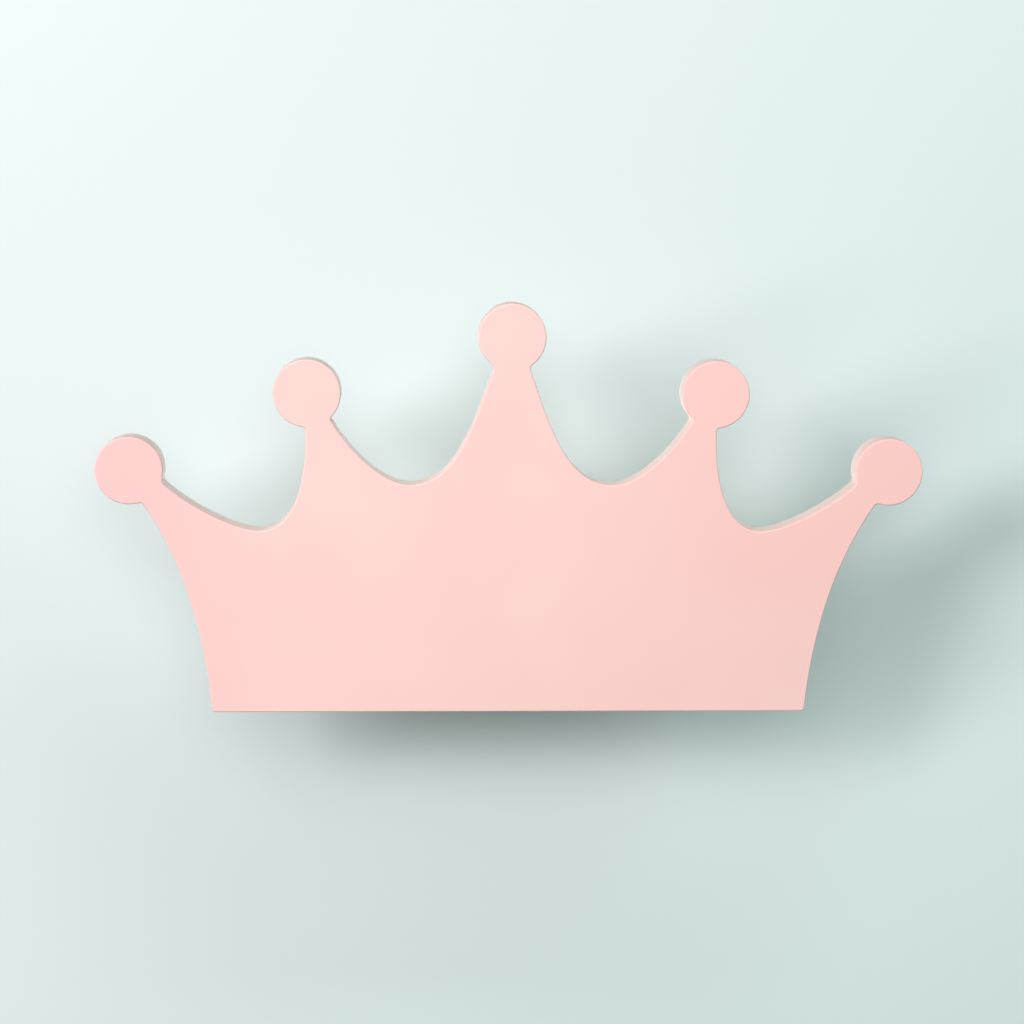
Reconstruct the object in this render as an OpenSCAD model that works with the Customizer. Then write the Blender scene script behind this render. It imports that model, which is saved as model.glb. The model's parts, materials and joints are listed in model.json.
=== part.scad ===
// Crown-shaped wall lamp.
// A flat crown board stands off the wall on four posts and hides a steel canopy with two lamp
// holders and their bulbs. The wall is the plane y = 0, the lamp comes forward along -Y, +Z is up,
// and the origin is the middle of the wall strap's back face. Left is -X, seen from the front.

/* [Crown] */
// Overall width of the crown, over its two outer balls
crown_w = 420; // [400:1:440]
// Thickness of the wooden board
board_t = 15; // [12:0.5:18]
// Thickness of the facing sheet on the board
face_t = 1; // [0.8:0.1:2]
// Distance from the wall to the back of the board
stand_off = 66; // [64:1:80]

/* [Canopy] */
// Width of the canopy
canopy_w = 124; // [122:1:130]
// Height of the canopy
canopy_h = 72; // [68:1:76]
// Depth of the canopy, from its open rear edge to its front
canopy_d = 19.5; // [19.5:0.5:22]
// Sheet thickness of the canopy
canopy_t = 1.2; // [0.8:0.1:1.5]

/* [Fixing] */
// Distance between the two wall screws
wall_screw_pitch = 60; // [50:1:70]
// How far the lamp lifts before it comes off its two lock screws
lift_travel = 8; // [6:0.5:9]
// Distance between the posts, side to side
post_pitch_x = 104; // [100:1:104]
// Distance between the posts, top to bottom
post_pitch_z = 54; // [52:1:56]

/* [Bulbs] */
// Diameter of each bulb's globe
globe_d = 45; // [40:1:46]
// Distance from the wall to the axis of the bulbs
bulb_axis = 38; // [37:0.5:40]

/* [Hidden] */
$fn = 64;
eps = 0.01;
// How far a cut runs past the face it opens
past = 1;
// Radial clearance of a screw in a plain hole, and in its thread
hole_gap = 0.1;
thread_gap = 0.02;

// Crown outline, drawn at its design width and scaled to crown_w. Only the right half is listed:
// each stretch is one cubic curve, given by its two ends and its two handles.
ball_r = 17.1;
ball_centres = [[0, 148], [103.2, 119.5], [192.6, 80.2]];
design_w = 2 * (ball_centres[2][0] + ball_r);
crown_base_z = -44;
centre_flank = [[6, 141], [18, 108.3], [26, 73.2], [51.4, 73.2]];
inner_rise = [[51.4, 73.2], [63.8, 73.2], [81.8, 88.4], [93.8, 110.1]];
outer_fall = [[104.1, 110.4], [102, 72.5], [110.5, 49.7], [127.5, 49.7]];
outer_rise = [[127.5, 49.7], [140.5, 49.7], [167.2, 64], [179.7, 77.6]];
side_sweep = [[188.2, 67], [162.7, 31], [154.9, -10.2], [151.9, crown_base_z]];
curve_steps = 20;
board_back = -stand_off;
face_back = board_back - board_t;

// Wall strap
strap_t = 2;
strap_h = 20;
tab_out = canopy_w / 2 - 2.5;
tab_reach = 17;
tab_h = 16;
slot_w = 5.5;
slot_len = 10;

// Lock screws, one through each side wall of the canopy into its tab
lock_y = -10;
lock_r = 2;
lock_hole_r = 2.05;
lock_slot_r = 2.2;
lock_nut_w = 7;
lock_nut_t = 3.2;
lock_head_r = 6;
lock_head_t = 6;
lock_knurls = 28;
lock_knurl_r = 0.4;
lock_collar_r = 4.5;
lock_collar_t = 1;
driver_slot_w = 1.2;
driver_slot_depth = 1.8;

// Canopy
canopy_rear = -0.5;
canopy_front = canopy_rear - canopy_d;
canopy_in = canopy_front + canopy_t;
canopy_corner = 5;

// Lamp holders: places along the bulb axis, measured from the middle of the lamp
lamp_y = -bulb_axis;
bracket_x = 14;
bracket_t = 1.5;
bracket_foot = 36;
bracket_half_h = 12;
bracket_screw_x = 31;
bracket_screw_z = 6.5;
bracket_screw_r = 1.5;
bracket_head_r = 2.8;
bracket_head_t = 1.9;
bracket_nut_w = 5.5;
bracket_nut_t = 2.4;
nipple_in = 10;
nipple_out = 22;
nipple_r = 5;
nipple_bore = 3.8;
nipple_hole_r = 5.05;
nipple_grooves = 11;
groove_depth = 0.4;
nipple_nut_w = 14;
nipple_nut_t = 3;
cap_back = bracket_x + bracket_t;
cap_front = 31;
holder_r = 13;
holder_front = 61;
base_back = 26;
base_front = 35;
base_r = 10.6;
well_r = 4;
well_depth = 3;
socket_r = 7.3;
grip_ribs = 24;
grip_start = 33;
grip_end = 42;
sleeve_step = 44;
holder_lip_r = 11.4;
spring_t = 0.5;
spring_w = 3;
side_spring_w = 3.6;
side_spring_len = 15;
side_dimple_x = 48;

// Bulbs
bulb_tip_x = 38;
shell_back = 43;
shell_front = 62;
thread_r = 6.9;
thread_root = 6.3;
thread_pitch = 2.82;
thread_turns = 5;
globe_r = globe_d / 2;
globe_x = 116 - globe_r;
globe_wall = 1;
globe_steps = 24;
collar_front = globe_x - 0.52 * globe_r;
collar_r = sqrt(globe_r * globe_r - pow(globe_x - collar_front, 2)) + 0.4;
collar_back = shell_front - 1;
collar_neck_r = 8.2;
collar_bore_r = 6;
cap_taper = 0.4;
insulator_r = 5;
insulator_tip_r = 2.6;
insulator_seat = 1.2;
tip_r = 2.4;
tip_h = 1.5;
led_r = collar_r - 2.6;
led_t = 1.6;
led_chips = 8;
chip_w = 3.5;
chip_h = 0.8;

// Posts, with a screw through each from inside the canopy into an insert in the board
post_x = post_pitch_x / 2;
post_z = post_pitch_z / 2;
post_r = 5;
post_bore = 2.2;
post_screw_r = 1.95;
post_head_r = 3.7;
post_head_t = 2.6;
post_washer_r = 4.5;
post_washer_t = 0.8;
insert_r = 3.1;
insert_bore = 2;
insert_len = 10;
insert_floor = 0.5;

// Terminal block, fixed inside the canopy below its middle
pole_pitch = 8;
block_w = 24;
block_h = 16;
block_z = -18;
block_top = block_z + block_h / 2;
block_foot = block_z - block_h / 2;
block_rear = -8;
pole_y = -13.5;
sleeve_r = 2.3;
sleeve_bore = 1.5;
sleeve_half = 7;
clamp_z = 4;
clamp_r = 1.3;
clamp_head_r = 1.9;
clamp_head_t = 1.6;
clamp_slot_w = 0.6;
fixing_r = 1.2;
fixing_head_r = 2.4;
fixing_head_t = 1.4;
fixing_slot_w = 0.7;
notch_w = 1.2;
notch_h = 5;
notch_depth = 3;

// Earth screw
earth_x = 24;
earth_z = -28;
earth_r = 2;
earth_head_r = 3.8;
earth_head_t = 2.4;
earth_tip_y = -12.5;
earth_tag_r = 4;
earth_tag_t = 0.8;
earth_washer_r = 3.6;
earth_washer_t = 0.8;
washer_teeth = 10;
earth_nut_w = 7;
earth_nut_t = 3.2;
crimp_y = -16.6;
crimp_r = 1.6;
crimp_x = 15;
crimp_len = 4;

// Wires
wire_r = 0.95;
wire_sides = 8;
core_r = 0.5;
core_len = 5;
wire_gap = 1.7;
grommet_r = 7.5;
grommet_lip = 1.8;
grommet_hole = 5.5;
grommet_bore = 4;

// Routes of the wires. Each pair runs from its holder to the grommet, the two pairs mirror images of
// each other, and behind the grommet each wire runs to its own pole of the terminal block.
right_front = [[base_back, lamp_y, 1], [18, lamp_y, 1], [10, lamp_y, 1], [5, -36, 1.1],
    [2.2, -31, 1.3], [wire_gap, -25, 1.3], [wire_gap, -17, 1.3]];
live_right_rear = [[1.2, -10.5, 2], [-2, -7.6, 0], [-5.4, -8.4, -4], [-7, pole_y, block_top]];
live_left_rear = [[-2.6, -12, 1], [-5.4, -10.4, -1.2], [-8.4, -11, -5], [-9, pole_y, block_top]];
neutral_right_rear = [[2.6, -12, -2], [5.4, -10.6, -3.6], [8.4, -11.2, -6], [9, pole_y, block_top]];
neutral_left_rear = [[-1.4, -11, -2], [1.4, -8, -3.4], [5, -8.2, -5.6], [7, pole_y, block_top]];
earth_route = [[0, pole_y, block_foot], [0.2, pole_y, -28.6], [2.6, -14, -30.8], [6, -15, -30.8],
    [9.4, -16.1, -29.2], [12.2, crimp_y, -28.1], [14.4, crimp_y, earth_z], [17, crimp_y, earth_z]];

// ---- shapes used by more than one part ----

function cubic(p, t) = pow(1 - t, 3) * p[0] + 3 * pow(1 - t, 2) * t * p[1]
    + 3 * (1 - t) * t * t * p[2] + pow(t, 3) * p[3];
function stretch(p) = [for (i = [0 : curve_steps]) cubic(p, i / curve_steps)];
function mirrored(points) = [for (i = [len(points) - 1 : -1 : 0]) [-points[i][0], points[i][1]]];

module bar_x(x0, x1, r, y = 0, z = 0) {
    translate([x0, y, z]) rotate([0, 90, 0]) cylinder(h = x1 - x0, r = r);
}

module bar_y(rear, front, r, x = 0, z = 0) {
    translate([x, rear, z]) rotate([90, 0, 0]) cylinder(h = rear - front, r = r);
}

module bar_z(z0, z1, r, x = 0, y = 0) {
    translate([x, y, z0]) cylinder(h = z1 - z0, r = r);
}

module hex_y(rear, front, across, x = 0, z = 0) {
    translate([x, rear, z]) rotate([90, 0, 0]) cylinder(h = rear - front, r = across / sqrt(3), $fn = 6);
}

// A flat shape drawn in X and Z, made solid from rear to front
module plate_y(rear, front) {
    translate([0, rear, 0]) rotate([90, 0, 0]) linear_extrude(rear - front) children();
}

module round_rect(w, h, r) {
    square([w - 2 * r, h], center = true);
    square([w, h - 2 * r], center = true);
    for (x = [-1, 1], z = [-1, 1]) translate([x * (w / 2 - r), z * (h / 2 - r)]) circle(r);
}

// A turned part on the bulb axis: points are [radius, distance from the middle of the lamp]
module turned(points) {
    translate([0, lamp_y, 0]) rotate([0, 90, 0]) rotate_extrude() polygon(points);
}

module on_side(side) {
    if (side < 0) mirror([1, 0, 0]) children();
    else children();
}

module at_posts() {
    for (x = [-post_x, post_x], z = [-post_z, post_z]) translate([x, 0, z]) children();
}

// ---- wires ----

function unit(v) = v / norm(v);
function across(n, t) = unit(n - (n * t) * t);
function spline(p, i, t) = let (
        a = p[max(i - 1, 0)],
        b = p[i],
        c = p[i + 1],
        d = p[min(i + 2, len(p) - 1)])
    0.5 * (2 * b + (c - a) * t + (2 * a - 5 * b + 4 * c - d) * t * t
        + (3 * b - a - 3 * c + d) * pow(t, 3));
function smooth(p) = concat([for (i = [0 : len(p) - 2], t = [0, 0.5]) spline(p, i, t)], [p[len(p) - 1]]);
function heading(p, i) = unit(p[min(i + 1, len(p) - 1)] - p[max(i - 1, 0)]);
function ring_normals(p, n, i = 0) = i == len(p) ? []
    : let (m = across(n, heading(p, i))) concat([m], ring_normals(p, m, i + 1));

module tube(path, r) {
    rings = len(path);
    normals = ring_normals(path, unit([0.2, 0.3, 1]));
    points = [for (i = [0 : rings - 1], k = [0 : wire_sides - 1])
        let (a = 360 * k / wire_sides, n = normals[i])
            path[i] + r * (cos(a) * n + sin(a) * cross(heading(path, i), n))];
    sides = [for (i = [0 : rings - 2], k = [0 : wire_sides - 1])
        let (j = (k + 1) % wire_sides, a = i * wire_sides, b = a + wire_sides)
            [a + k, b + k, b + j, a + j]];
    first = [for (k = [0 : wire_sides - 1]) k];
    last = [for (k = [wire_sides - 1 : -1 : 0]) (rings - 1) * wire_sides + k];
    polyhedron(points, concat(sides, [first, last]));
}

// A wire with a stripped end in the terminal block, dir being the way into the block
module stripped(route, last_x, z, dir) {
    tube(smooth(route), wire_r);
    bar_z(min(z, z + dir * core_len), max(z, z + dir * core_len), core_r, last_x, pole_y);
}

function front_run(side, up) = [for (p = right_front) [side * p[0], p[1], up * p[2]]];

module lamp_wire(side, up, rear) {
    route = concat(front_run(side, up), rear);
    stripped(route, rear[len(rear) - 1][0], block_top, -1);
}

module live_wire_left() { color("saddlebrown") lamp_wire(-1, 1, live_left_rear); }
module live_wire_right() { color("saddlebrown") lamp_wire(1, 1, live_right_rear); }
module neutral_wire_left() { color("royalblue") lamp_wire(-1, -1, neutral_left_rear); }
module neutral_wire_right() { color("royalblue") lamp_wire(1, -1, neutral_right_rear); }

module earth_wire() {
    color("yellowgreen") stripped(earth_route, 0, block_foot, 1);
}

// ---- wall strap and its lock screws ----

module wall_strap() {
    color("gainsboro") difference() {
        union() {
            translate([-tab_out, -strap_t, -strap_h / 2]) cube([2 * tab_out, strap_t, strap_h]);
            for (side = [-1, 1]) on_side(side) {
                translate([tab_out - strap_t, -tab_reach + tab_h / 2, -tab_h / 2])
                    cube([strap_t, tab_reach - tab_h / 2, tab_h]);
                bar_x(tab_out - strap_t, tab_out, tab_h / 2, -tab_reach + tab_h / 2);
            }
        }
        for (side = [-1, 1]) {
            translate([side * wall_screw_pitch / 2, 0, 0]) plate_y(past, -strap_t - past)
                strap_slot();
            on_side(side) bar_x(tab_out - strap_t - past, tab_out + past, lock_hole_r, lock_y);
        }
    }
}

module strap_slot() {
    reach = slot_len / 2 - slot_w / 2;
    square([2 * reach, slot_w], center = true);
    for (x = [-reach, reach]) translate([x, 0]) circle(slot_w / 2);
}

module lock_nuts() {
    color("silver") for (side = [-1, 1]) on_side(side) difference() {
        translate([tab_out - strap_t - lock_nut_t, lock_y - lock_nut_w / 2, -lock_nut_w / 2])
            cube([lock_nut_t, lock_nut_w, lock_nut_w]);
        bar_x(tab_out - strap_t - lock_nut_t - past, tab_out, lock_hole_r, lock_y);
    }
}

// Knurled thumb screw with a driver slot, its head against the side of the canopy
module lock_screw(side) {
    collar_x = canopy_w / 2;
    head_x = collar_x + lock_collar_t;
    end_x = head_x + lock_head_t;
    color("silver") on_side(side) difference() {
        union() {
            bar_x(tab_out - strap_t - lock_nut_t - lock_r / 2, head_x, lock_r, lock_y);
            bar_x(collar_x, head_x, lock_collar_r, lock_y);
            bar_x(head_x, end_x, lock_head_r, lock_y);
        }
        for (k = [0 : lock_knurls - 1]) translate([0, lock_y, 0])
            rotate([k * 360 / lock_knurls, 0, 0])
                bar_x(collar_x, end_x + past, lock_knurl_r, lock_head_r + lock_knurl_r / 4);
        translate([end_x - driver_slot_depth, lock_y - driver_slot_w / 2, -lock_head_r - past])
            cube([driver_slot_depth + past, driver_slot_w, 2 * (lock_head_r + past)]);
    }
}

module lock_screw_left() { lock_screw(-1); }
module lock_screw_right() { lock_screw(1); }

// ---- canopy and what is fixed in it ----

module canopy() {
    color("white") difference() {
        plate_y(canopy_rear, canopy_front) round_rect(canopy_w, canopy_h, canopy_corner);
        plate_y(canopy_rear + past, canopy_in)
            round_rect(canopy_w - 2 * canopy_t, canopy_h - 2 * canopy_t, canopy_corner - canopy_t);
        canopy_slots();
        bar_y(0, canopy_front - past, grommet_hole);
        bar_y(0, canopy_front - past, earth_r + hole_gap, earth_x, earth_z);
        bar_y(0, canopy_front - past, fixing_r, pole_pitch / 2, block_z);
        at_posts() bar_y(0, canopy_front - past, post_bore);
        at_bracket_screws() bar_y(0, canopy_front - past, bracket_screw_r + hole_gap);
    }
}

// L-shaped slots, open at the rear edge, that hang the canopy on the shanks of the lock screws
module canopy_slots() {
    for (side = [-1, 1]) on_side(side) {
        x0 = canopy_w / 2 - canopy_t - past;
        x1 = canopy_w / 2 + past;
        bar_x(x0, x1, lock_slot_r, lock_y);
        bar_x(x0, x1, lock_slot_r, lock_y, -lift_travel);
        translate([x0, lock_y - lock_slot_r, -lift_travel]) cube([x1 - x0, 2 * lock_slot_r, lift_travel]);
        translate([x0, lock_y, -lift_travel - lock_slot_r])
            cube([x1 - x0, past - lock_y, 2 * lock_slot_r]);
    }
}

module wire_grommet() {
    color("dimgray") difference() {
        union() {
            bar_y(canopy_front, canopy_front - grommet_lip, grommet_r);
            bar_y(canopy_in + grommet_lip, canopy_in, grommet_r);
            bar_y(canopy_in + eps, canopy_front - eps, grommet_hole);
        }
        bar_y(0, canopy_front - grommet_lip - past, grommet_bore);
    }
}

module terminal_block() {
    color("ivory") difference() {
        translate([-block_w / 2, canopy_in, block_foot]) cube([block_w, block_rear - canopy_in, block_h]);
        for (pole = [-1 : 1]) {
            bar_z(block_foot - past, block_top + past, sleeve_r, pole * pole_pitch, pole_y);
            for (z = [-clamp_z, clamp_z])
                bar_y(block_rear + past, pole_y + core_r, clamp_head_r + hole_gap,
                    pole * pole_pitch, block_z + z);
        }
        bar_y(block_rear + past, canopy_in - past, fixing_r + 2 * hole_gap, pole_pitch / 2, block_z);
        for (x = [-pole_pitch / 2, pole_pitch / 2], end = [-1, 1])
            translate([x - notch_w / 2, block_rear - notch_depth, block_z + (end * block_h - notch_h) / 2])
                cube([notch_w, notch_depth + past, notch_h]);
    }
}

module terminal_sleeves() {
    color("goldenrod") for (pole = [-1 : 1]) difference() {
        bar_z(block_z - sleeve_half, block_z + sleeve_half, sleeve_r, pole * pole_pitch, pole_y);
        bar_z(block_foot, block_top, sleeve_bore, pole * pole_pitch, pole_y);
        for (z = [-clamp_z, clamp_z])
            bar_y(block_rear, pole_y, clamp_r + thread_gap, pole * pole_pitch, block_z + z);
    }
}

module terminal_screws() {
    head_rear = block_rear - clamp_slot_w;
    color("silver") for (pole = [-1 : 1], z = [-clamp_z, clamp_z])
        translate([pole * pole_pitch, 0, block_z + z]) difference() {
            union() {
                bar_y(head_rear - clamp_head_t + eps, pole_y + core_r + hole_gap, clamp_r);
                bar_y(head_rear, head_rear - clamp_head_t, clamp_head_r);
            }
            translate([-clamp_head_r, head_rear - clamp_head_t / 2, -clamp_slot_w / 2])
                cube([2 * clamp_head_r, clamp_head_t, clamp_slot_w]);
        }
}

module terminal_fixing_screw() {
    color("silver") translate([pole_pitch / 2, 0, block_z]) difference() {
        union() {
            bar_y(block_rear + eps, canopy_front - 2 * canopy_t, fixing_r);
            bar_y(block_rear + fixing_head_t, block_rear, fixing_head_r);
        }
        translate([-fixing_head_r, block_rear + fixing_head_t / 2, -fixing_slot_w / 2])
            cube([2 * fixing_head_r, fixing_head_t, fixing_slot_w]);
    }
}

module earth_screw() {
    color("silver") translate([earth_x, 0, earth_z]) difference() {
        union() {
            bar_y(earth_tip_y, canopy_front - eps, earth_r);
            bar_y(canopy_front, canopy_front - earth_head_t, earth_head_r);
        }
        cross_recess(canopy_front - earth_head_t);
    }
}

// Cross-shaped driver recess, to cut a screw head whose outer face is at the given y. out is -1 for a
// head that faces forward and 1 for one that faces the wall.
module cross_recess(face, out = -1, reach = 2, turn = 0) {
    width = 0.4 * reach;
    depth = 0.6 * reach;
    for (a = [0, 90]) rotate([0, turn + a, 0])
        translate([-reach, out < 0 ? face - past : face - depth, -width / 2])
            cube([2 * reach, depth + past, width]);
}

module earth_tag() {
    color("silver") difference() {
        union() {
            bar_y(canopy_in + earth_tag_t, canopy_in, earth_tag_r, earth_x, earth_z);
            translate([crimp_x + crimp_len - 1, canopy_in, earth_z - crimp_r])
                cube([crimp_len, earth_tag_t, 2 * crimp_r]);
            bar_x(crimp_x, crimp_x + crimp_len, crimp_r, crimp_y, earth_z);
        }
        bar_y(0, canopy_front, earth_r + hole_gap, earth_x, earth_z);
        bar_x(crimp_x - past, crimp_x + 0.6 * crimp_len, wire_r + hole_gap, crimp_y, earth_z);
    }
}

module earth_washer() {
    rear = canopy_in + earth_tag_t + earth_washer_t;
    color("silver") difference() {
        bar_y(rear, rear - earth_washer_t, earth_washer_r, earth_x, earth_z);
        bar_y(0, canopy_front, earth_r + hole_gap, earth_x, earth_z);
        for (k = [0 : washer_teeth - 1]) translate([earth_x, 0, earth_z])
            rotate([0, k * 360 / washer_teeth, 0]) bar_y(0, canopy_front, 0.4, earth_washer_r);
    }
}

module earth_nut() {
    rear = canopy_in + earth_tag_t + earth_washer_t + earth_nut_t;
    color("silver") difference() {
        hex_y(rear, rear - earth_nut_t, earth_nut_w, earth_x, earth_z);
        bar_y(0, canopy_front, earth_r + thread_gap, earth_x, earth_z);
    }
}

// ---- lamp holders ----

module at_bracket_screws() {
    for (x = [-bracket_screw_x, bracket_screw_x], z = [-bracket_screw_z, bracket_screw_z])
        translate([x, 0, z]) children();
}

module holder_bracket(side) {
    color("gainsboro") on_side(side) difference() {
        union() {
            translate([bracket_x, canopy_front - bracket_t, -bracket_half_h])
                cube([bracket_foot - bracket_x, bracket_t, 2 * bracket_half_h]);
            translate([bracket_x, lamp_y, -bracket_half_h])
                cube([bracket_t, canopy_front - lamp_y, 2 * bracket_half_h]);
            bar_x(bracket_x, bracket_x + bracket_t, bracket_half_h, lamp_y);
        }
        bar_x(bracket_x - past, bracket_x + bracket_t + past, nipple_hole_r, lamp_y);
        for (z = [-bracket_screw_z, bracket_screw_z])
            bar_y(canopy_front + past, canopy_front - bracket_t - past, bracket_screw_r + hole_gap,
                bracket_screw_x, z);
    }
}

module holder_bracket_left() { holder_bracket(-1); }
module holder_bracket_right() { holder_bracket(1); }

module bracket_screws() {
    head = canopy_front - bracket_t;
    color("silver") at_bracket_screws() difference() {
        union() {
            bar_y(canopy_in + bracket_nut_t + 1, head - eps, bracket_screw_r);
            bar_y(head, head - bracket_head_t, bracket_head_r);
        }
        cross_recess(head - bracket_head_t, reach = 1.6, turn = 45);
    }
}

module bracket_nuts() {
    color("silver") at_bracket_screws() difference() {
        hex_y(canopy_in + bracket_nut_t, canopy_in, bracket_nut_w);
        bar_y(0, canopy_front, bracket_screw_r + thread_gap);
    }
}

// Threaded tube that joins the holder to its bracket and leads the wires through
module nipple(side) {
    pitch = (nipple_out - nipple_in) / (nipple_grooves + 1);
    color("goldenrod") on_side(side) difference() {
        bar_x(nipple_in, nipple_out, nipple_r, lamp_y);
        bar_x(nipple_in - past, nipple_out + past, nipple_bore, lamp_y);
        for (k = [0 : nipple_grooves]) thread_groove(nipple_in + (k + 0.7) * pitch);
    }
}

module thread_groove(x) {
    turned([[nipple_r + hole_gap, x - groove_depth], [nipple_r - groove_depth, x],
        [nipple_r + hole_gap, x + groove_depth]]);
}

module nipple_left() { nipple(-1); }
module nipple_right() { nipple(1); }

module nipple_nut(side) {
    color("goldenrod") on_side(side) difference() {
        translate([bracket_x - nipple_nut_t, lamp_y, 0]) rotate([0, 90, 0])
            cylinder(h = nipple_nut_t, r = nipple_nut_w / sqrt(3), $fn = 6);
        bar_x(bracket_x - nipple_nut_t - past, bracket_x + past, nipple_r + thread_gap, lamp_y);
    }
}

module nipple_nut_left() { nipple_nut(-1); }
module nipple_nut_right() { nipple_nut(1); }

// Domed rear cap of the holder, screwed onto the nipple
module holder_cap(side) {
    round_r = holder_r / 2;
    inner_r = base_r + hole_gap;
    bore_r = nipple_r + thread_gap;
    dome = [for (a = [0 : 10 : 90])
        [holder_r - round_r + round_r * sin(a), cap_back + round_r - round_r * cos(a)]];
    color("white") on_side(side) turned(concat(
        [[bore_r, cap_back]],
        dome,
        [[holder_r, cap_front], [inner_r, cap_front], [inner_r, base_back - 1],
            [0.8 * inner_r, nipple_out + 1], [bore_r, nipple_out + 1]]));
}

module holder_cap_left() { holder_cap(-1); }
module holder_cap_right() { holder_cap(1); }

// Sleeve of the holder, with the screw socket for the bulb and grip ribs round its rear
module holder_body(side) {
    inner_r = base_r + hole_gap;
    color("white") on_side(side) difference() {
        turned([[inner_r, cap_front], [holder_r, cap_front], [holder_r, sleeve_step],
            [holder_r - 1, sleeve_step + 2], [holder_lip_r, holder_front - 1],
            [holder_lip_r - 0.8, holder_front], [socket_r + 0.8, holder_front],
            [socket_r, holder_front - 0.8], [socket_r, base_front], [inner_r, base_front]]);
        for (k = [0 : grip_ribs - 1]) translate([0, lamp_y, 0]) rotate([k * 360 / grip_ribs, 0, 0])
            bar_x(grip_start, grip_end, 0.5, holder_r + 0.15);
        translate([base_front - past, lamp_y + socket_r - past, -side_spring_w / 2 - 0.3])
            cube([side_spring_len + 2, past + 0.9, side_spring_w + 0.6]);
    }
}

module holder_body_left() { holder_body(-1); }
module holder_body_right() { holder_body(1); }

module contact_base(side) {
    color("ivory") on_side(side) difference() {
        turned([[0, base_back], [base_r, base_back], [base_r, base_front], [0, base_front]]);
        bar_x(base_front - well_depth, base_front + past, well_r, lamp_y);
        for (z = [-well_r, well_r])
            bar_x(base_back - past, base_back + well_depth, 1.6, lamp_y + well_r + 1, z);
    }
}

module contact_base_left() { contact_base(-1); }
module contact_base_right() { contact_base(1); }

// Bent spring tongue that presses on the tip of the bulb
module centre_contact(side) {
    root_x = base_front - well_depth;
    tongue_x = bulb_tip_x - 1;
    color("goldenrod") on_side(side) {
        translate([root_x, lamp_y - spring_w, -spring_w / 2]) cube([spring_t, 2 * spring_w, spring_w]);
        translate([root_x, lamp_y - spring_w, -spring_w / 2])
            cube([tongue_x - root_x + spring_t, spring_t, spring_w]);
        translate([tongue_x, lamp_y - spring_w, -spring_w / 2])
            cube([spring_t, 1.5 * spring_w, spring_w]);
        bar_x(tongue_x + spring_t - eps, bulb_tip_x, spring_w / 3, lamp_y);
    }
}

module centre_contact_left() { centre_contact(-1); }
module centre_contact_right() { centre_contact(1); }

// Spring tongue in the wall of the socket that presses on the thread of the bulb
module side_contact(side) {
    y = lamp_y + socket_r;
    color("goldenrod") on_side(side) {
        translate([base_front, y + 0.3, -side_spring_w / 2])
            cube([side_spring_len, spring_t, side_spring_w]);
        bar_z(-side_spring_w / 2, side_spring_w / 2, 0.35, side_dimple_x, y);
        translate([base_front, y + 0.3 + spring_t - side_spring_w / 2, -side_spring_w / 2])
            cube([spring_t, side_spring_w / 2, side_spring_w]);
    }
}

module side_contact_left() { side_contact(-1); }
module side_contact_right() { side_contact(1); }

// ---- posts and board ----

module post(side, level) {
    color("white") translate([side * post_x, 0, level * post_z]) difference() {
        bar_y(canopy_front, board_back, post_r);
        bar_y(canopy_front + past, board_back - past, post_bore);
    }
}

module post_upper_left() { post(-1, 1); }
module post_upper_right() { post(1, 1); }
module post_lower_left() { post(-1, -1); }
module post_lower_right() { post(1, -1); }

module post_screws() {
    head = canopy_in + post_washer_t;
    color("silver") at_posts() difference() {
        union() {
            bar_y(head + eps, board_back - insert_len + 2 * insert_floor, post_screw_r);
            bar_y(head + post_head_t, head, post_head_r);
        }
        cross_recess(head + post_head_t, out = 1);
    }
}

module post_washers() {
    color("silver") at_posts() difference() {
        bar_y(canopy_in + post_washer_t, canopy_in, post_washer_r);
        bar_y(0, canopy_front, post_screw_r + 2 * hole_gap);
    }
}

// Flanged threaded inserts, pressed into the back of the board
module board_inserts() {
    color("goldenrod") at_posts() difference() {
        bar_y(board_back, board_back - insert_len, insert_r);
        bar_y(board_back + past, board_back - insert_len + insert_floor, insert_bore);
    }
}

// A slab in the shape of the crown: the band with its five points, and a ball on each point
module crown_slab(rear, front) {
    k = crown_w / design_w;
    right = concat([ball_centres[0]],
        stretch(centre_flank), stretch(inner_rise), [ball_centres[1]],
        stretch(outer_fall), stretch(outer_rise), [ball_centres[2]],
        stretch(side_sweep));
    plate_y(rear, front) scale(k) polygon(concat(right, mirrored(right)));
    for (c = ball_centres, side = [-1, 1])
        if (c[0] > 0 || side > 0) bar_y(rear, front, k * ball_r, k * side * c[0], k * c[1]);
}

module crown_board() {
    color("seashell") difference() {
        crown_slab(board_back, face_back);
        at_posts() bar_y(board_back + past, board_back - insert_len, insert_r);
    }
}

module crown_face() {
    color("pink") crown_slab(face_back, face_back - face_t);
}

// ---- bulbs ----

module bulb_globe(side) {
    inner_r = globe_r - globe_wall;
    rim = globe_x - collar_front;
    outside = [for (k = [0 : globe_steps]) let (a = acos(-rim / globe_r) * (1 - k / globe_steps))
        [globe_r * sin(a), globe_x + globe_r * cos(a)]];
    inside = [for (k = [0 : globe_steps]) let (a = acos(-rim / inner_r) * k / globe_steps)
        [inner_r * sin(a), globe_x + inner_r * cos(a)]];
    color("whitesmoke") on_side(side) turned(concat(outside, inside));
}

module bulb_globe_left() { bulb_globe(-1); }
module bulb_globe_right() { bulb_globe(1); }

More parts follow.
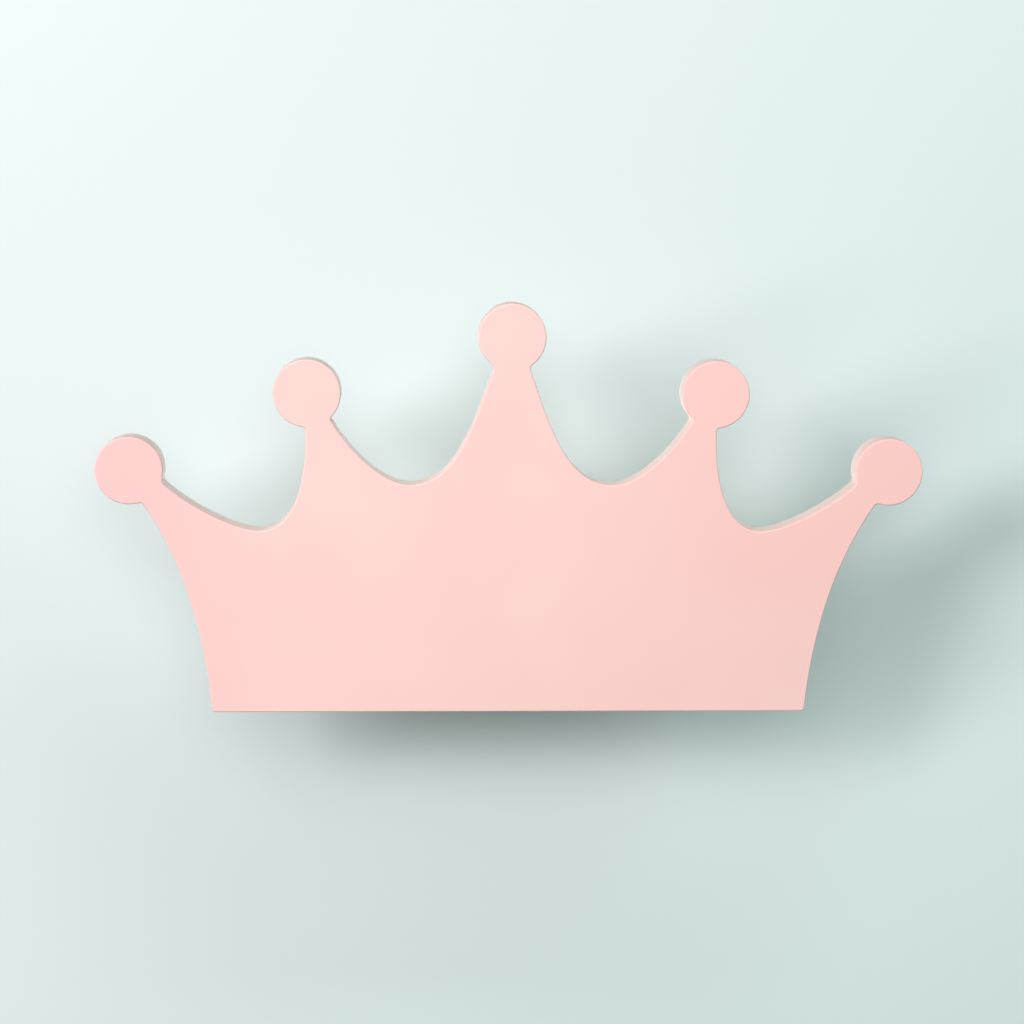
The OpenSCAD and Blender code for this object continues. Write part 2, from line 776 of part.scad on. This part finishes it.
// Flared plastic collar between the screw cap and the globe, with a seat for the light board
module bulb_collar(side) {
    start = shell_front + 2;
    reach = collar_front - start;
    seat = collar_front - led_t;
    wall = 1.6;
    flare = [[collar_neck_r, start], [collar_neck_r, start + 0.45 * reach],
        [0.76 * collar_r, start + 0.68 * reach], [collar_r, collar_front]];
    hollow = [[led_r - 1, seat], [0.64 * collar_r, start + 0.7 * reach],
        [collar_neck_r - wall, start + 0.52 * reach], [collar_neck_r - wall, start + 2]];
    color("white") on_side(side) turned(concat(
        [[collar_bore_r, collar_back], [collar_neck_r - 0.6, collar_back], [collar_neck_r, shell_front]],
        stretch(flare), [[led_r, collar_front], [led_r, seat]], stretch(hollow),
        [[collar_bore_r, start + 1]]));
}

module bulb_collar_left() { bulb_collar(-1); }
module bulb_collar_right() { bulb_collar(1); }

// Screw cap: a thin shell with rounded threads
module bulb_cap(side) {
    first = collar_back - 0.5 - thread_turns * thread_pitch;
    thread = [for (k = [thread_turns : -1 : 1], a = [0 : 45 : 315])
        [thread_root + (thread_r - thread_root) * (1 - cos(a)) / 2, first + (k - a / 360) * thread_pitch]];
    color("silver") on_side(side) turned(concat(
        [[insulator_r, collar_back], [thread_root, collar_back]], thread,
        [[thread_root, first], [thread_root - cap_taper, shell_back + 1], [insulator_r, shell_back]]));
}

module bulb_cap_left() { bulb_cap(-1); }
module bulb_cap_right() { bulb_cap(1); }

module bulb_insulator(side) {
    color("black") on_side(side)
        turned([[0, bulb_tip_x + tip_h], [insulator_tip_r, bulb_tip_x + tip_h],
            [insulator_r, shell_back], [insulator_r, shell_back + insulator_seat],
            [0, shell_back + insulator_seat]]);
}

module bulb_insulator_left() { bulb_insulator(-1); }
module bulb_insulator_right() { bulb_insulator(1); }

module bulb_tip(side) {
    dome = [for (a = [0 : 15 : 90]) [tip_r * sin(a), bulb_tip_x + tip_h - (tip_h - eps) * cos(a)]];
    color("silver") on_side(side) turned(concat(dome, [[0, bulb_tip_x + tip_h]]));
}

module bulb_tip_left() { bulb_tip(-1); }
module bulb_tip_right() { bulb_tip(1); }

// Round circuit board with a ring of light-emitting chips
module led_disc(side) {
    chip_depth = 0.8 * chip_w;
    color("lightyellow") on_side(side) {
        bar_x(collar_front - led_t, collar_front, led_r, lamp_y);
        translate([collar_front - eps, lamp_y, 0]) for (k = [0 : led_chips - 1])
            rotate([k * 360 / led_chips, 0, 0]) translate([0, led_r / 2, -chip_w / 2])
                cube([chip_h, chip_depth, chip_w]);
    }
}

module led_disc_left() { led_disc(-1); }
module led_disc_right() { led_disc(1); }

wall_strap();
lock_nuts();
lock_screw_left();
lock_screw_right();
canopy();
wire_grommet();
terminal_block();
terminal_sleeves();
terminal_screws();
terminal_fixing_screw();
earth_screw();
earth_tag();
earth_washer();
earth_nut();
earth_wire();
live_wire_left();
live_wire_right();
neutral_wire_left();
neutral_wire_right();
holder_bracket_left();
holder_bracket_right();
bracket_screws();
bracket_nuts();
nipple_left();
nipple_right();
nipple_nut_left();
nipple_nut_right();
holder_cap_left();
holder_cap_right();
holder_body_left();
holder_body_right();
contact_base_left();
contact_base_right();
centre_contact_left();
centre_contact_right();
side_contact_left();
side_contact_right();
post_upper_left();
post_upper_right();
post_lower_left();
post_lower_right();
post_screws();
post_washers();
board_inserts();
crown_board();
crown_face();
bulb_globe_left();
bulb_globe_right();
bulb_collar_left();
bulb_collar_right();
bulb_cap_left();
bulb_cap_right();
bulb_insulator_left();
bulb_insulator_right();
bulb_tip_left();
bulb_tip_right();
led_disc_left();
led_disc_right();
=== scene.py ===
"""Crown-shaped wall lamp: finishes, finely shaped pieces, wall, light and camera around the CAD model."""
import json
import math

import bmesh
import bpy
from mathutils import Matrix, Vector


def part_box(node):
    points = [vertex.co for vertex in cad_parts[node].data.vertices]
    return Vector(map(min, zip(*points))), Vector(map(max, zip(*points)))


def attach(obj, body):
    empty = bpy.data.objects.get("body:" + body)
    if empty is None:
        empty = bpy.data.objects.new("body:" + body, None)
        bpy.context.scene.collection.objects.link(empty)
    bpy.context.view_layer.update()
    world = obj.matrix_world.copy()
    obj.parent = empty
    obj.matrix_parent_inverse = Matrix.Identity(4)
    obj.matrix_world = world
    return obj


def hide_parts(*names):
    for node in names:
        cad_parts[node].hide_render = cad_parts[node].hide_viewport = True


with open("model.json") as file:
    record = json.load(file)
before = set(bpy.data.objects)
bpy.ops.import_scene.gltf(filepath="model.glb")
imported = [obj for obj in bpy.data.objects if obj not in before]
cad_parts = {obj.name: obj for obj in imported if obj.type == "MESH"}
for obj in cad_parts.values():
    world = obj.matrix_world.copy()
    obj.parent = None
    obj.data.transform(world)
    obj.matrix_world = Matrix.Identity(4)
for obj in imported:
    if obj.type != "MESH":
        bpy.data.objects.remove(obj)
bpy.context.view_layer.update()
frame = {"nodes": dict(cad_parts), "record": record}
MM = 0.001
NODES = frame["nodes"]
# The two wall tones are painted light and shade: the lit top left and the shaded bottom right. The darker
# one is also the tone of faint blotches.
WALL_PAINTED_LIT = (0.704, 0.757, 0.765)
WALL_PAINTED_SHADE_AND_BLOTCH = (0.730, 0.846, 0.840)
PINK_EVEN = (0.955, 0.612, 0.582)
PINK_PALE = (0.962, 0.650, 0.616)
# Two painted shade tones of the face's pink: deeper at the upper right and darker at the left end.
PINK_PAINTED_SHADE_UPPER_RIGHT = (0.965, 0.592, 0.560)
PINK_PAINTED_SHADE_LEFT = (0.940, 0.556, 0.540)
PINK_DUST = (0.930, 0.560, 0.520)
PINK_SPRAY = (0.965, 0.725, 0.680)
BOARD_LAYERS = ((0.885, 0.755, 0.70), (0.925, 0.80, 0.745))
BOARD_PATCH = (0.935, 0.815, 0.76)
ROOM_TINT = (0.70, 1.0, 0.91)
BACKDROP_GREY = (0.70, 0.76, 0.76)
LIGHT_WALL_GAP = 2.0
CROWN_MIDDLE = 0.05
WALL_HALF = 12.0
NECK_REACH = 1.9 * MM
CRISP_EDGE = (0.02 * MM, 1)
BACK_EDGE = (0.5 * MM, 3)
FACE_EDGE = (0.7 * MM, 6)
SHARP_ANGLE = math.radians(38)
HOLE_SIDES = 32
CAMERA_PLACE = (-0.0519, -1.2948, 0.2402)
CAMERA_TURN = (81.541, -0.441, -2.401)


# ---------------------------------------------------------------- materials

class Finish:
    """One node material with a Principled shader, and short ways to add textures to it."""

    def __init__(self, name, **fixed):
        self.material = bpy.data.materials.new(name)
        self.material.use_nodes = True
        self.tree = self.material.node_tree
        self.tree.nodes.clear()
        self.out = self.add("ShaderNodeOutputMaterial")
        self.shader = self.add("ShaderNodeBsdfPrincipled")
        self.link(self.shader.outputs[0], self.out.inputs["Surface"])
        for socket, value in fixed.items():
            self.shader.inputs[socket.replace("_", " ")].default_value = value

    def add(self, kind, **settings):
        node = self.tree.nodes.new(kind)
        for key, value in settings.items():
            setattr(node, key, value)
        return node

    def link(self, source, target):
        self.tree.links.new(source, target)

    def noise(self, size, detail=3.0, stretch=(1, 1, 1), rough=0.5):
        """Noise whose features are about size metres across, drawn out along an axis by stretch."""
        coords = self.add("ShaderNodeTexCoord")
        mapping = self.add("ShaderNodeMapping")
        mapping.inputs["Scale"].default_value = [1 / s for s in stretch]
        node = self.add("ShaderNodeTexNoise")
        node.inputs["Scale"].default_value = 1 / size
        node.inputs["Detail"].default_value = detail
        node.inputs["Roughness"].default_value = rough
        self.link(coords.outputs["Object"], mapping.inputs["Vector"])
        self.link(mapping.outputs[0], node.inputs["Vector"])
        return node.outputs["Fac"]

    def fade(self, start, end):
        """A number that runs from 0 at the point start to 1 at the point end."""
        coords = self.add("ShaderNodeTexCoord")
        way = Vector(end) - Vector(start)
        along = self.add("ShaderNodeVectorMath", operation="DOT_PRODUCT")
        along.inputs[1].default_value = way / way.length_squared
        self.link(coords.outputs["Object"], along.inputs[0])
        offset = Vector(start).dot(way) / way.length_squared
        return self.ramp(along.outputs["Value"], 0, 1, offset, offset + 1)

    def ramp(self, source, low, high, start=0.3, end=0.7):
        """Turns a texture into a number that runs from low to high."""
        node = self.add("ShaderNodeMapRange")
        self.link(source, node.inputs["Value"])
        node.inputs["From Min"].default_value = start
        node.inputs["From Max"].default_value = end
        node.inputs["To Min"].default_value = low
        node.inputs["To Max"].default_value = high
        return node.outputs["Result"]

    def times(self, first, second):
        """The product of two numbers that vary over the surface."""
        node = self.add("ShaderNodeMath", operation="MULTIPLY")
        self.link(first, node.inputs[0])
        self.link(second, node.inputs[1])
        return node.outputs[0]

    def blend(self, factor, first, second):
        """Mixes two colours, each a colour or another texture's output."""
        node = self.add("ShaderNodeMix", data_type="RGBA")
        self.link(factor, node.inputs["Factor"])
        sockets = {s.name: s for s in node.inputs if s.type == "RGBA"}
        for name, value in (("A", first), ("B", second)):
            if isinstance(value, tuple):
                sockets[name].default_value = (*value, 1)
            else:
                self.link(value, sockets[name])
        return next(s for s in node.outputs if s.type == "RGBA")

    def colour(self, source):
        self.link(source, self.shader.inputs["Base Color"])

    def gloss(self, source):
        self.link(source, self.shader.inputs["Roughness"])

    def bump(self, source, depth):
        """Raises the surface by up to depth metres where the texture is bright."""
        node = self.add("ShaderNodeBump")
        node.inputs["Distance"].default_value = depth
        self.link(source, node.inputs["Height"])
        self.link(node.outputs[0], self.shader.inputs["Normal"])


def mottled(name, dark, light, patch, grain, depth, rough, stretch=(1, 1, 1), **fixed):
    """Colour that drifts between two tones over patches, with a finer grain in its height and gloss."""
    finish = Finish(name, **fixed)
    drift = finish.noise(patch, 3, stretch)
    fine = finish.noise(grain, 4, stretch)
    finish.colour(finish.blend(finish.ramp(drift, 0, 1), dark, light))
    finish.gloss(finish.ramp(fine, *rough))
    finish.bump(fine, depth)
    return finish.material


def insulation(name, base, stripe=None):
    """Flexible wire covering, with a second colour in patches round it if it is an earth wire."""
    finish = Finish(name, Specular_IOR_Level=0.4)
    fine = finish.noise(0.4 * MM)
    tone = finish.blend(finish.ramp(fine, 0, 1), tuple(0.8 * c for c in base), base)
    if stripe:
        bands = finish.noise(2.5 * MM, 0, (1, 1, 4))
        tone = finish.blend(finish.ramp(bands, 0, 1, 0.49, 0.51), tone, stripe)
    finish.colour(tone)
    finish.gloss(finish.ramp(fine, 0.35, 0.5))
    finish.bump(fine, 0.02 * MM)
    return finish.material


def pink_lacquer():
    """Satin lacquer on the face: one even pink with a faint drift, with painted shade that makes it a
    little deeper at both ends, and with a fine orange peel and dust."""
    finish = Finish("pink_lacquer", Specular_IOR_Level=0.35, Coat_Weight=0.06, Coat_Roughness=0.32)
    drift = finish.noise(90 * MM, 2)
    peel = finish.noise(1.6 * MM, 3)
    dust = finish.noise(0.5 * MM, 1)
    tone = finish.blend(finish.ramp(drift, 0, 1), PINK_EVEN, PINK_PALE)
    # painted shade: the pink is deeper towards the upper right of the face
    right = finish.fade((0.02, 0, 0), (0.12, 0, 0))
    above = finish.fade((0, 0, -0.035), (0, 0, 0.03))
    tone = finish.blend(finish.times(right, above), tone, PINK_PAINTED_SHADE_UPPER_RIGHT)
    # painted shade: the pink is darker towards the left end of the face
    tone = finish.blend(finish.fade((-0.12, 0, 0), (-0.19, 0, 0)), tone, PINK_PAINTED_SHADE_LEFT)
    tone = finish.blend(finish.ramp(dust, 0, 0.35, 0.68, 0.8), tone, PINK_DUST)
    finish.colour(tone)
    finish.gloss(finish.ramp(peel, 0.44, 0.54))
    finish.bump(peel, 0.012 * MM)
    return finish.material


def sealed_board():
    """Painted edge of fibreboard: off-white, a little darker where the fibres drank the paint, with a
    breath of pink that fades away from the face."""
    finish = Finish("sealed_board", Specular_IOR_Level=0.04)
    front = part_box("crown_board")[0].y
    layers = finish.noise(1.1 * MM, 3, (8, 1, 8))
    fibres = finish.noise(0.35 * MM, 4, (3, 1, 3))
    patches = finish.noise(22 * MM, 2)
    spray = finish.fade((0, front + 14 * MM, 0), (0, front + 3 * MM, 0))
    tone = finish.blend(finish.ramp(layers, 0, 1), *BOARD_LAYERS)
    tone = finish.blend(finish.ramp(patches, 0, 0.6), tone, BOARD_PATCH)
    finish.colour(finish.blend(spray, tone, PINK_SPRAY))
    finish.gloss(finish.ramp(fibres, 0.5, 0.72))
    finish.bump(fibres, 0.03 * MM)
    return finish.material


def opal(name):
    """Opal diffuser: milky, with a soft shine and the faint ripples of blown glass."""
    finish = Finish(name, Specular_IOR_Level=0.5, Subsurface_Weight=0.25, Subsurface_Scale=0.004,
                    Coat_Weight=0.5, Coat_Roughness=0.08)
    finish.shader.inputs["Subsurface Radius"].default_value = (1.0, 0.9, 0.8)
    ripple = finish.noise(14 * MM, 2)
    cloud = finish.noise(5 * MM, 3)
    finish.colour(finish.blend(finish.ramp(cloud, 0, 1), (0.86, 0.85, 0.82), (0.91, 0.905, 0.89)))
    finish.gloss(finish.ramp(ripple, 0.16, 0.24))
    finish.bump(ripple, 0.05 * MM)
    return finish.material


def light_board():
    """White circuit board with yellow phosphor on the chips that stand up from it."""
    finish = Finish("light_board", Specular_IOR_Level=0.4)
    fine = finish.noise(0.6 * MM)
    finish.colour(finish.blend(finish.ramp(fine, 0, 1), (0.80, 0.74, 0.42), (0.86, 0.82, 0.60)))
    finish.gloss(finish.ramp(fine, 0.4, 0.6))
    finish.bump(fine, 0.02 * MM)
    return finish.material


def metal(name, dark, light, rough, grain=0.5 * MM, stretch=(1, 1, 1)):
    return mottled(name, dark, light, 6 * MM, grain, 0.006 * MM, rough, stretch, Metallic=1.0)


FINISHES = {
    "face_pink": pink_lacquer(),
    "board_edge": sealed_board(),
    "steel_zinc": metal("zinc_sheet", (0.50, 0.51, 0.52), (0.64, 0.65, 0.66), (0.28, 0.42),
                        0.35 * MM, (30, 1, 1)),
    "screw_steel": metal("zinc_screws", (0.55, 0.56, 0.57), (0.70, 0.70, 0.71), (0.20, 0.34)),
    "canopy_paint": mottled("canopy_powder", (0.77, 0.77, 0.75), (0.83, 0.83, 0.81), 30 * MM,
                            0.9 * MM, 0.03 * MM, (0.34, 0.46), Specular_IOR_Level=0.45),
    "post_paint": mottled("post_powder", (0.75, 0.75, 0.73), (0.82, 0.82, 0.80), 9 * MM,
                          0.8 * MM, 0.025 * MM, (0.32, 0.44), Specular_IOR_Level=0.45),
    "brass": metal("turned_brass", (0.62, 0.43, 0.17), (0.76, 0.56, 0.27), (0.20, 0.36), 0.3 * MM,
                   (1, 20, 20)),
    "holder_plastic": mottled("holder_plastic", (0.78, 0.765, 0.72), (0.84, 0.83, 0.79), 12 * MM,
                              0.5 * MM, 0.01 * MM, (0.26, 0.36), Specular_IOR_Level=0.5,
                              Coat_Weight=0.2, Coat_Roughness=0.2),
    "ceramic": mottled("cream_moulding", (0.72, 0.68, 0.60), (0.80, 0.77, 0.70), 4 * MM,
                       0.4 * MM, 0.02 * MM, (0.5, 0.66)),
    "block_plastic": mottled("natural_nylon", (0.74, 0.71, 0.62), (0.82, 0.80, 0.72), 5 * MM,
                             0.5 * MM, 0.015 * MM, (0.40, 0.52), Subsurface_Weight=0.1,
                             Subsurface_Scale=0.001),
    "rubber_black": mottled("black_rubber", (0.012, 0.012, 0.012), (0.035, 0.034, 0.033), 3 * MM,
                            0.4 * MM, 0.03 * MM, (0.6, 0.8)),
    "wire_brown": insulation("brown_wire", (0.20, 0.075, 0.03)),
    "wire_blue": insulation("blue_wire", (0.03, 0.12, 0.50)),
    "wire_earth": insulation("earth_wire", (0.10, 0.36, 0.05), (0.78, 0.66, 0.05)),
    "opal_glass": opal("opal_globe"),
    "bulb_collar": mottled("collar_plastic", (0.80, 0.80, 0.79), (0.87, 0.87, 0.86), 10 * MM,
                           0.5 * MM, 0.008 * MM, (0.28, 0.38), Specular_IOR_Level=0.5),
    "bulb_cap": metal("nickel_cap", (0.58, 0.56, 0.52), (0.72, 0.70, 0.66), (0.16, 0.30), 0.4 * MM),
    "black_glass": mottled("black_glass", (0.008, 0.008, 0.009), (0.02, 0.02, 0.022), 2 * MM,
                           0.3 * MM, 0.01 * MM, (0.08, 0.16), Coat_Weight=0.5),
    "solder": metal("tinned_contact", (0.48, 0.48, 0.50), (0.62, 0.62, 0.63), (0.30, 0.46)),
    "led_board": light_board(),
}


# ---------------------------------------------------------------- mesh helpers

def new_piece(name, mesh_data, slot, body):
    """An object in the scene with its finish, riding on a body."""
    piece = bpy.data.objects.new(name, mesh_data)
    bpy.context.scene.collection.objects.link(piece)
    mesh_data.materials.append(FINISHES[slot])
    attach(piece, body)
    return piece


def outline_of(node, y):
    """The ordered outer edge, as (x, z), of a flat node's face on the plane y."""
    shape = bmesh.new()
    shape.from_mesh(NODES[node].data)
    bmesh.ops.remove_doubles(shape, verts=shape.verts, dist=0.001 * MM)
    face_set = {f for f in shape.faces if all(abs(v.co.y - y) < 0.01 * MM for v in f.verts)}
    follow = {}
    for face in face_set:
        for loop in face.loops:
            if sum(f in face_set for f in loop.edge.link_faces) == 1:
                follow[loop.vert] = loop.link_loop_next.vert
    start = min(follow, key=lambda v: (v.co.z, v.co.x))
    ring, vert = [], start
    while not ring or vert is not start:
        ring.append(Vector((vert.co.x, vert.co.z)))
        vert = follow[vert]
    shape.free()
    area = sum(a.x * b.y - b.x * a.y for a, b in zip(ring, ring[1:] + ring[:1]))
    return ring if area > 0 else ring[::-1]


def cut_corners(ring, reach, steps=6, sharpest=math.radians(24)):
    """Rounds every sharp corner of a closed outline, starting the curve reach metres from it."""
    count = len(ring)
    lengths = [(ring[(i + 1) % count] - ring[i]).length for i in range(count)]

    def walk(i, step):
        """The point reach metres along the outline from corner i, and the points passed on the way."""
        left, passed, j = reach, set(), i
        while True:
            k = (j + step) % count
            length = lengths[j if step > 0 else k]
            if length > left:
                return ring[j].lerp(ring[k], left / length), passed
            left -= length
            passed.add(k)
            j = k

    corners, dropped = {}, set()
    for i in range(count):
        a, b = ring[i] - ring[i - 1], ring[(i + 1) % count] - ring[i]
        if a.length > 0 and b.length > 0 and a.angle(b) > sharpest:
            before, gone = walk(i, -1)
            after, gone_too = walk(i, 1)
            corners[i] = (before, after)
            dropped |= gone | gone_too
    result = []
    for i, point in enumerate(ring):
        if i in corners:
            before, after = corners[i]
            for k in range(steps + 1):
                t = k / steps
                result.append(before.lerp(point, t).lerp(point.lerp(after, t), t))
        elif i not in dropped:
            result.append(point)
    return result


def inset(ring, depth):
    """The outline moved inwards by depth metres."""
    count, moved = len(ring), []
    for i in range(count):
        a = (ring[i] - ring[i - 1]).normalized()
        b = (ring[(i + 1) % count] - ring[i]).normalized()
        normal = Vector((-a.y - b.y, a.x + b.x)).normalized()
        lean = max(0.5, normal.dot(Vector((-a.y, a.x))))
        moved.append(ring[i] + normal * (depth / lean))
    return moved


def arris(radius, steps):
    """Pairs of (inset, set-back) round an edge from the side of a slab to its face."""
    angles = [math.pi / 2 * k / steps for k in range(steps + 1)]
    return [(radius * (1 - math.cos(a)), radius * (1 - math.sin(a))) for a in angles]


def slab(name, ring, rear, front, rear_edge, front_edge, slot, body, holes=()):
    """A flat board lying from y = rear to y = front. Each edge is rounded by a radius in so many steps,
    and each blind hole in its back has a place (x, z), a radius and a depth."""
    shape = bmesh.new()
    levels = [(depth, rear - back) for depth, back in reversed(arris(*rear_edge))]
    levels += [(depth, front + back) for depth, back in arris(*front_edge)]
    rings = []
    for depth, y in levels:
        rings.append([shape.verts.new((p.x, y, p.y)) for p in inset(ring, depth)])
    for low, high in zip(rings, rings[1:]):
        for i in range(len(ring)):
            j = (i + 1) % len(ring)
            shape.faces.new((low[i], low[j], high[j], high[i]))
    shape.faces.new(rings[-1])
    rims = [rings[0]]
    turns = [math.tau * k / HOLE_SIDES for k in range(HOLE_SIDES)]
    for x, z, radius, depth in holes:
        mouth, floor = [[shape.verts.new((x + radius * math.cos(a), y, z + radius * math.sin(a)))
                         for a in turns] for y in (rear, rear - depth)]
        for k in range(HOLE_SIDES):
            shape.faces.new((mouth[k - 1], mouth[k], floor[k], floor[k - 1]))
        shape.faces.new(floor)
        rims.append(mouth)
    edges = [shape.edges.get((r[k - 1], r[k])) or shape.edges.new((r[k - 1], r[k]))
             for r in rims for k in range(len(r))]
    bmesh.ops.triangle_fill(shape, use_beauty=True, edges=edges)
    bmesh.ops.recalc_face_normals(shape, faces=shape.faces)
    for face in shape.faces:
        face.smooth = True
    data = bpy.data.meshes.new(name)
    shape.to_mesh(data)
    shape.free()
    data.set_sharp_from_angle(angle=SHARP_ANGLE)
    piece = new_piece(name, data, slot, body)
    weighted = piece.modifiers.new("even_shading", "WEIGHTED_NORMAL")
    weighted.keep_sharp = True
    weighted.weight = 100
    return piece


# ---------------------------------------------------------------- crown

def make_crown():
    """The painted board and its pink facing, with rounded edges and necks like a routed board's."""
    face_low, face_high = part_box("crown_face")
    board_low, board_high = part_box("crown_board")
    ring = cut_corners(outline_of("crown_face", face_low.y), NECK_REACH)
    insert_low, insert_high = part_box("board_inserts")
    post_low, post_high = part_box("post_upper_right")
    x = (post_low.x + post_high.x) / 2
    z = (post_low.z + post_high.z) / 2
    radius = insert_high.x - x
    depth = insert_high.y - insert_low.y
    holes = [(sx * x, sz * z, radius, depth) for sx in (-1, 1) for sz in (-1, 1)]
    board = slab("crown_board_shaped", ring, board_high.y, board_low.y, BACK_EDGE, CRISP_EDGE,
                 "board_edge", "lamp", holes)
    face = slab("crown_face_lacquered", ring, face_high.y, face_low.y, CRISP_EDGE, FACE_EDGE,
                "face_pink", "lamp")
    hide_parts("crown_board")
    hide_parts("crown_face")


# ---------------------------------------------------------------- CAD nodes that stay

def finish_cad_nodes():
    """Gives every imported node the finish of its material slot."""
    slot_of = {s["node"]: s["material_slot"] for s in frame["record"]["subparts"]}
    for name, node in NODES.items():
        for index in range(len(node.data.materials)):
            node.data.materials[index] = FINISHES[slot_of[name]]


# ---------------------------------------------------------------- wall, light, camera

def make_wall():
    """A painted wall that only the camera sees. Its colour carries painted light, lighter towards the top
    left and darker towards the bottom right, with faint blotches. It is clear from behind, where the
    lamp's back shows.
    """
    finish = Finish("wall_paint", Specular_IOR_Level=0.1)
    broad = finish.noise(0.3, 2)
    roller = finish.noise(2.2 * MM, 3)
    # painted light: the wall is lighter towards the top left and darker towards the bottom right, where
    # the light falls off
    painted_light_fade = finish.fade((0.35, 0, -0.25), (-0.35, 0, 0.3))
    tone = finish.blend(painted_light_fade, WALL_PAINTED_SHADE_AND_BLOTCH, WALL_PAINTED_LIT)
    finish.colour(finish.blend(finish.ramp(broad, 0, 0.12), tone, WALL_PAINTED_SHADE_AND_BLOTCH))
    finish.gloss(finish.ramp(roller, 0.6, 0.75))
    finish.bump(roller, 0.02 * MM)
    facing = finish.add("ShaderNodeNewGeometry")
    clear = finish.add("ShaderNodeBsdfTransparent")
    either = finish.add("ShaderNodeMixShader")
    finish.link(facing.outputs["Backfacing"], either.inputs[0])
    finish.link(finish.shader.outputs[0], either.inputs[1])
    finish.link(clear.outputs[0], either.inputs[2])
    finish.link(either.outputs[0], finish.out.inputs["Surface"])
    corners = [(-1, -1), (1, -1), (1, 1), (-1, 1)]
    data = bpy.data.meshes.new("wall")
    data.from_pydata([(WALL_HALF * x, 0, WALL_HALF * z) for x, z in corners], [], [(0, 1, 2, 3)])
    data.materials.append(finish.material)
    wall = bpy.data.objects.new("wall", data)
    wall.location.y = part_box("wall_strap")[1].y + 0.05 * MM
    wall.visible_shadow = wall.visible_diffuse = wall.visible_glossy = False
    bpy.context.scene.collection.objects.link(wall)


def soft_box(name, middle, size, tilt, power, colour, gap=LIGHT_WALL_GAP):
    """A flat soft light that hangs parallel to the wall, gap metres in front of it or, if gap is
    negative, behind it. Its middle and its size are in gaps, from the middle of the crown, and tilt
    turns it in its own plane, in degrees."""
    lamp = bpy.data.lights.new(name, "AREA")
    lamp.shape = "RECTANGLE"
    lamp.size, lamp.size_y = (abs(gap) * s for s in size)
    lamp.energy = power
    lamp.color = colour
    light = bpy.data.objects.new(name, lamp)
    light.location = (abs(gap) * middle[0], -gap, CROWN_MIDDLE + abs(gap) * middle[1])
    light.rotation_euler = (math.copysign(math.pi / 2, gap), math.radians(-tilt), 0)
    bpy.context.scene.collection.objects.link(light)


def make_light():
    """Soft boxes and a weak room light. The room looks pale grey, straight on and in reflections."""
    world = bpy.data.worlds.new("studio")
    world.use_nodes = True
    tree = world.node_tree
    room = tree.nodes["Background"]
    room.inputs["Color"].default_value = (*ROOM_TINT, 1)
    room.inputs["Strength"].default_value = 0.14
    backdrop = tree.nodes.new("ShaderNodeBackground")
    backdrop.inputs["Color"].default_value = (*BACKDROP_GREY, 1)
    rays = tree.nodes.new("ShaderNodeLightPath")
    seen = tree.nodes.new("ShaderNodeMath")
    seen.operation = "MAXIMUM"
    tree.links.new(rays.outputs["Is Camera Ray"], seen.inputs[0])
    tree.links.new(rays.outputs["Is Glossy Ray"], seen.inputs[1])
    either = tree.nodes.new("ShaderNodeMixShader")
    tree.links.new(seen.outputs[0], either.inputs[0])
    tree.links.new(room.outputs[0], either.inputs[1])
    tree.links.new(backdrop.outputs[0], either.inputs[2])
    tree.links.new(either.outputs[0], tree.nodes["World Output"].inputs["Surface"])
    bpy.context.scene.world = world
    soft_box("left_light", (-1.6, 0.15), (1.95, 0.45), 29, 175, (1.0, 0.945, 0.95))
    soft_box("front_light", (-0.2, 0.57), (1.15, 0.66), -40, 24.2, (1.0, 0.95, 0.96))
    soft_box("right_light", (1.7, 1.0), (1.3, 1.6), 0, 68, (0.87, 1.0, 0.96))
    soft_box("top_light", (0.8, 2.5), (2.4, 1.2), 0, 220, (0.90, 1.0, 0.97))
    soft_box("rear_light", (0.0, -0.1), (0.3, 0.3), 0, 80, (0.95, 1.0, 0.98), -4.0)


def make_camera():
    """85 mm lens, 1.21 m in front of the face, a little above the crown and to its left."""
    data = bpy.data.cameras.new("camera")
    data.lens = 85
    data.sensor_width = 36
    camera = bpy.data.objects.new("camera", data)
    camera.location = CAMERA_PLACE
    camera.rotation_euler = [math.radians(a) for a in CAMERA_TURN]
    bpy.context.scene.collection.objects.link(camera)
    bpy.context.scene.camera = camera


bpy.context.scene.view_settings.view_transform = "Standard"
finish_cad_nodes()
make_crown()
make_wall()
make_light()
make_camera()
